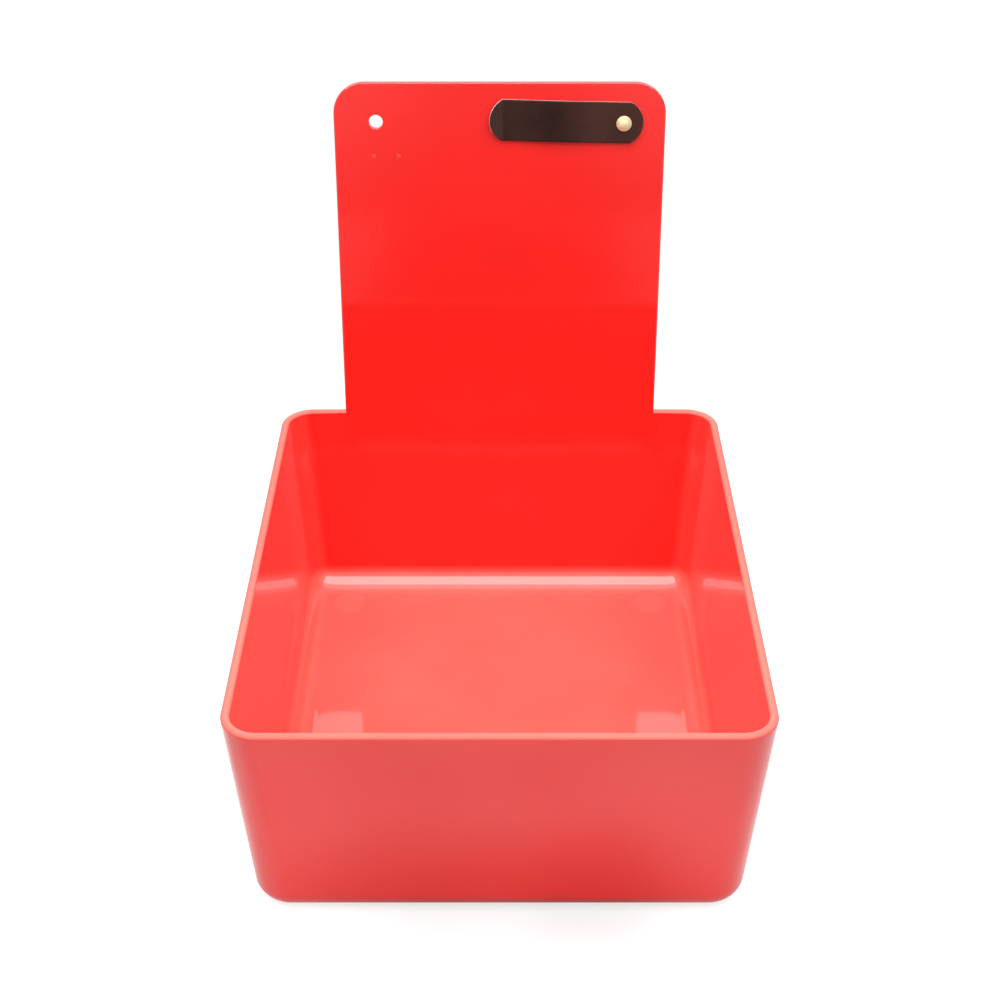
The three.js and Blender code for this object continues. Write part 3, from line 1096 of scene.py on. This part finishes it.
class WORKPAN_OT_rivet(Operator):
    """Build the brass rivet and the washer under its clinched tail"""

    bl_idname = "workpan.rivet"
    bl_label = "Rivet and Washer"

    def execute(self, context):
        self.rivet()
        self.washer()
        return {"FINISHED"}

    def washer_front(self):
        pan = settings("pan")
        clip = settings("clip")
        return -(pan.panel_thickness + clip.seat_gap)

    def rivet(self):
        clip = settings("clip")
        fine = settings("fineness")
        shank = clip.shank_diameter / 2
        head = clip.head_diameter / 2
        bore = clip.tail_bore / 2
        seat = head_seat()
        tail_seat = self.washer_front() - clip.washer_thickness - clip.seat_gap
        tail = clip.clinch_diameter / 2
        roll = (tail + bore) / 2
        edge = clip.head_rim / 3
        dome = clip.head_height - clip.head_rim
        outs = [i / fine.dome_steps for i in range(fine.dome_steps + 1)]
        rim = seat + clip.head_rim
        profile = [(head * out, rim + dome * (1 - out * out)) for out in outs]
        lower = (head - edge, seat + edge)
        profile += arc(lower, (edge, edge), 0, -90, fine.head_edge_steps)
        profile += [(shank, seat), (shank, tail_seat)]
        radii = (tail - roll, -clip.clinch_height)
        profile += arc((roll, tail_seat), radii, 0, 180, fine.clinch_steps)
        hollow = tail_seat - clip.clinch_height + clip.tail_bore_depth
        profile += [(bore, hollow), (0, hollow + bore / 2)]
        piece = turned("brass_rivet", profile, brass(), clip_plane())
        with_flat_faces_true(piece)
        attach(piece, "rivet")
        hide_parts("rivet")

    def washer(self):
        clip = settings("clip")
        steps = settings("fineness").washer_edge_steps
        bore = clip.shank_diameter / 2 + clip.bore_clearance
        outer = clip.washer_diameter / 2
        edge = clip.washer_thickness / 4
        front = self.washer_front()
        back = front - clip.washer_thickness
        profile = [(bore, front)]
        profile += arc((outer - edge, front - edge), (edge, edge), 90, 0, steps)
        profile += arc((outer - edge, back + edge), (edge, edge), 0, -90, steps)
        profile += [(bore, back), (bore, front)]
        piece = turned("clinch_washer", profile, plated_steel(), clip_plane())
        with_flat_faces_true(piece)
        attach(piece, "rivet")
        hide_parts("rivet_washer")


# Studio


FLOOR_RADIUS = 3.0
FLOOR_DROP = 0.05 * MM

# Between the softbox lamps, so that none lies in another's plane
LAMP_STEP = 5 * MM

# Painted shadows as darker ovals on the floor's mat, in metres: along the pan's foot and
# right of its middle
FOOT_SHADE = ((0, -0.075), (0.07, 0.024))
SIDE_SHADE = ((0.024, -0.082), (0.024, 0.03))

# How bright the floor is in glossy faces: its least, and how far before the pan that is
DARKEST = 0.02
DARKEST_AHEAD = 0.36

# Where it brightens from there, in metres: by how much, from and to
AHEAD = (0.28, 0.0, 1.14)
ASIDE = (0.35, 0.03, 0.2)
EDGES = (0.22, 0.055, 0.1)

# How far before the pan the brighter edges end, and how far aside the floor turns white
EDGES_END = (0.55, 0.7)
WHITE_FROM = (0.15, 0.45)

# How bright the mat is in glossy faces
MAT_MIRRORED = 0.42


def brighter(wire, by, low, high):
    return by * ramp(wire, low, high)


def rays(tree):
    """Whether a ray comes from the camera, a glossy face or a clear one."""
    path = tree.nodes.new("ShaderNodeLightPath")
    kinds = ("Camera", "Glossy", "Transmission")
    return [Wire(tree, path.outputs["Is " + kind + " Ray"]) for kind in kinds]


class WORKPAN_OT_studio(Operator):
    """Build the floor, the overhead softbox, the white surroundings and the camera"""

    bl_idname = "workpan.studio"
    bl_label = "Studio"

    def execute(self, context):
        self.floor()
        self.lamps()
        self.surroundings(context)
        self.camera(context)
        context.scene.view_settings.view_transform = "Standard"
        return {"FINISHED"}

    def floor(self):
        shape = bmesh.new()
        bmesh.ops.create_circle(shape, cap_ends=True, segments=96, radius=FLOOR_RADIUS)
        bmesh.ops.translate(shape, verts=shape.verts, vec=(0, 0, -FLOOR_DROP))
        mesh = bpy.data.meshes.new("studio_floor")
        shape.to_mesh(mesh)
        shape.free()
        mesh.materials.append(self.floor_material())
        linked("studio_floor", mesh)

    def floor_material(self):
        """A pale mat on a floor that is white to the camera and darker in glossy faces,
        with painted shadows on the mat.
        """
        material, tree, shader = new_material("studio_floor")
        points = object_points(tree)
        x, y, _ = xyz_of(tree, points)
        reach = settings("studio").mat_reach
        beyond = ramp(oval(x, y, (0, 0), (reach, reach)), 0.9, 1.35)
        # Painted shade on the mat: darker along the pan's foot and in a patch right of its
        # middle, times random folds of brightness
        foot = ramp(oval(x, y, *FOOT_SHADE), 0.2, 1.4)
        spot = ramp(oval(x, y, *SIDE_SHADE), 0.2, 1.2)
        folds = noise(tree, points, 22.0, 1.0)
        lit = between(0.4, 1.0, foot) * between(0.75, 1.0, spot) * between(0.7, 1.15, folds)
        mat = blended(tree, lit, grey(0), grey(0.55))

        aside = x.of("ABSOLUTE")
        ahead = (y + DARKEST_AHEAD).of("ABSOLUTE")
        near = 1 - ramp(y * -1, *EDGES_END)
        mirror = DARKEST + brighter(ahead, *AHEAD) + brighter(aside, *ASIDE)
        mirror = mirror + brighter(aside, *EDGES) * near
        mirror = between(mirror, 1.0, ramp(aside, *WHITE_FROM))
        mirror = between(MAT_MIRRORED * lit, mirror, beyond)
        seen, glossy, clear = rays(tree)
        mirrored = (glossy + clear).at_most(1)
        looks = {
            "Base Color": blended(tree, beyond, mat, grey(0.006)),
            "Roughness": 0.9,
            "Specular IOR Level": 0.1,
            "Emission Color": grey(1),
            "Emission Strength": between(0.7, 1.0, beyond) * seen + mirror * mirrored,
        }
        plug_all(shader, looks)
        return material

    def lamps(self):
        """A softbox overhead, what glossy faces show of it, and a card behind the pan.

        Area lamps that overlap add up in glossy faces, so the middle adds to the border.
        """
        studio = settings("studio")
        width, height = studio.shine_width, studio.softbox_height
        size = (studio.softbox_width, studio.softbox_depth)
        place = (0, -studio.softbox_forward, height)
        self.lamp("softbox", studio.softbox_glow, size, place, 0, "diffuse")
        size = (width, studio.border_depth)
        place = (0, -studio.border_forward, height - LAMP_STEP)
        self.lamp("softbox_border", studio.border_glow, size, place, 0, "glossy")
        size = (width, studio.shine_depth)
        place = (0, -studio.shine_forward, height - 2 * LAMP_STEP)
        self.lamp("softbox_shine", studio.shine_glow, size, place, 0, "glossy")
        size = (studio.card_width, studio.card_depth)
        place = (0, studio.card_distance, studio.card_height)
        self.lamp("card", studio.card_glow, size, place, -RIGHT_ANGLE / 2, "both")

    def lamp(self, name, glow, size, place, lean, shows_in):
        lamp = bpy.data.lights.new(name, "AREA")
        lamp.shape = "RECTANGLE"
        lamp.size, lamp.size_y = size
        lamp.energy = glow * math.pi * size[0] * size[1]
        box = bpy.data.objects.new(name, lamp)
        box.location = place
        box.rotation_euler = (lean, 0, 0)
        box.visible_camera = False
        box.visible_diffuse = shows_in != "glossy"
        box.visible_glossy = shows_in != "diffuse"
        bpy.context.scene.collection.objects.link(box)

    def surroundings(self, context):
        """White to the camera and in glossy faces, and a dimmer fill light."""
        world = bpy.data.worlds.new("white_surroundings")
        world.use_nodes = True
        tree = world.node_tree
        seen, glossy, clear = rays(tree)
        seen = (seen + glossy + clear).at_most(1)
        strength = between(settings("studio").fill, 1.0, seen)
        plug_all(tree.nodes["Background"], {"Color": grey(1), "Strength": strength})
        context.scene.world = world

    def camera(self, context):
        studio = settings("studio")
        lens = bpy.data.cameras.new("camera")
        lens.lens = studio.lens
        lens.sensor_width = 36
        lens.clip_start = 0.01
        lens.clip_end = 20
        camera = bpy.data.objects.new("camera", lens)
        camera.location = studio.camera_place
        camera.rotation_euler = (RIGHT_ANGLE - studio.camera_dip, 0, 0)
        context.scene.collection.objects.link(camera)
        context.scene.camera = camera


STEPS = (
    WORKPAN_OT_studio,
    WORKPAN_OT_pan,
    WORKPAN_OT_clip_leaf,
    WORKPAN_OT_rivet,
)


class WORKPAN_PT_sidebar(Panel):
    """Sizes, finishes and building steps of the work pan"""

    bl_label = "Work Pan"
    bl_idname = "WORKPAN_PT_sidebar"
    bl_space_type = "VIEW_3D"
    bl_region_type = "UI"
    bl_category = "Work Pan"

    def draw(self, context):
        for group, kind in SETTINGS.items():
            box = self.layout.box()
            box.label(text=group.capitalize())
            for name in kind.__annotations__:
                box.prop(settings(group), name)
        for step in STEPS:
            self.layout.operator(step.bl_idname)


CLASSES = (*SETTINGS.values(), *STEPS, WORKPAN_PT_sidebar)


def register():
    for item in CLASSES:
        bpy.utils.register_class(item)
    for group, kind in SETTINGS.items():
        setattr(bpy.types.Scene, "workpan_" + group, PointerProperty(type=kind))


def unregister():
    for group in SETTINGS:
        delattr(bpy.types.Scene, "workpan_" + group)
    for item in reversed(CLASSES):
        bpy.utils.unregister_class(item)


def main():
    register()
    bpy.ops.workpan.studio()
    bpy.ops.workpan.pan()
    bpy.ops.workpan.clip_leaf()
    bpy.ops.workpan.rivet()


if __name__ == "__main__":
    main()
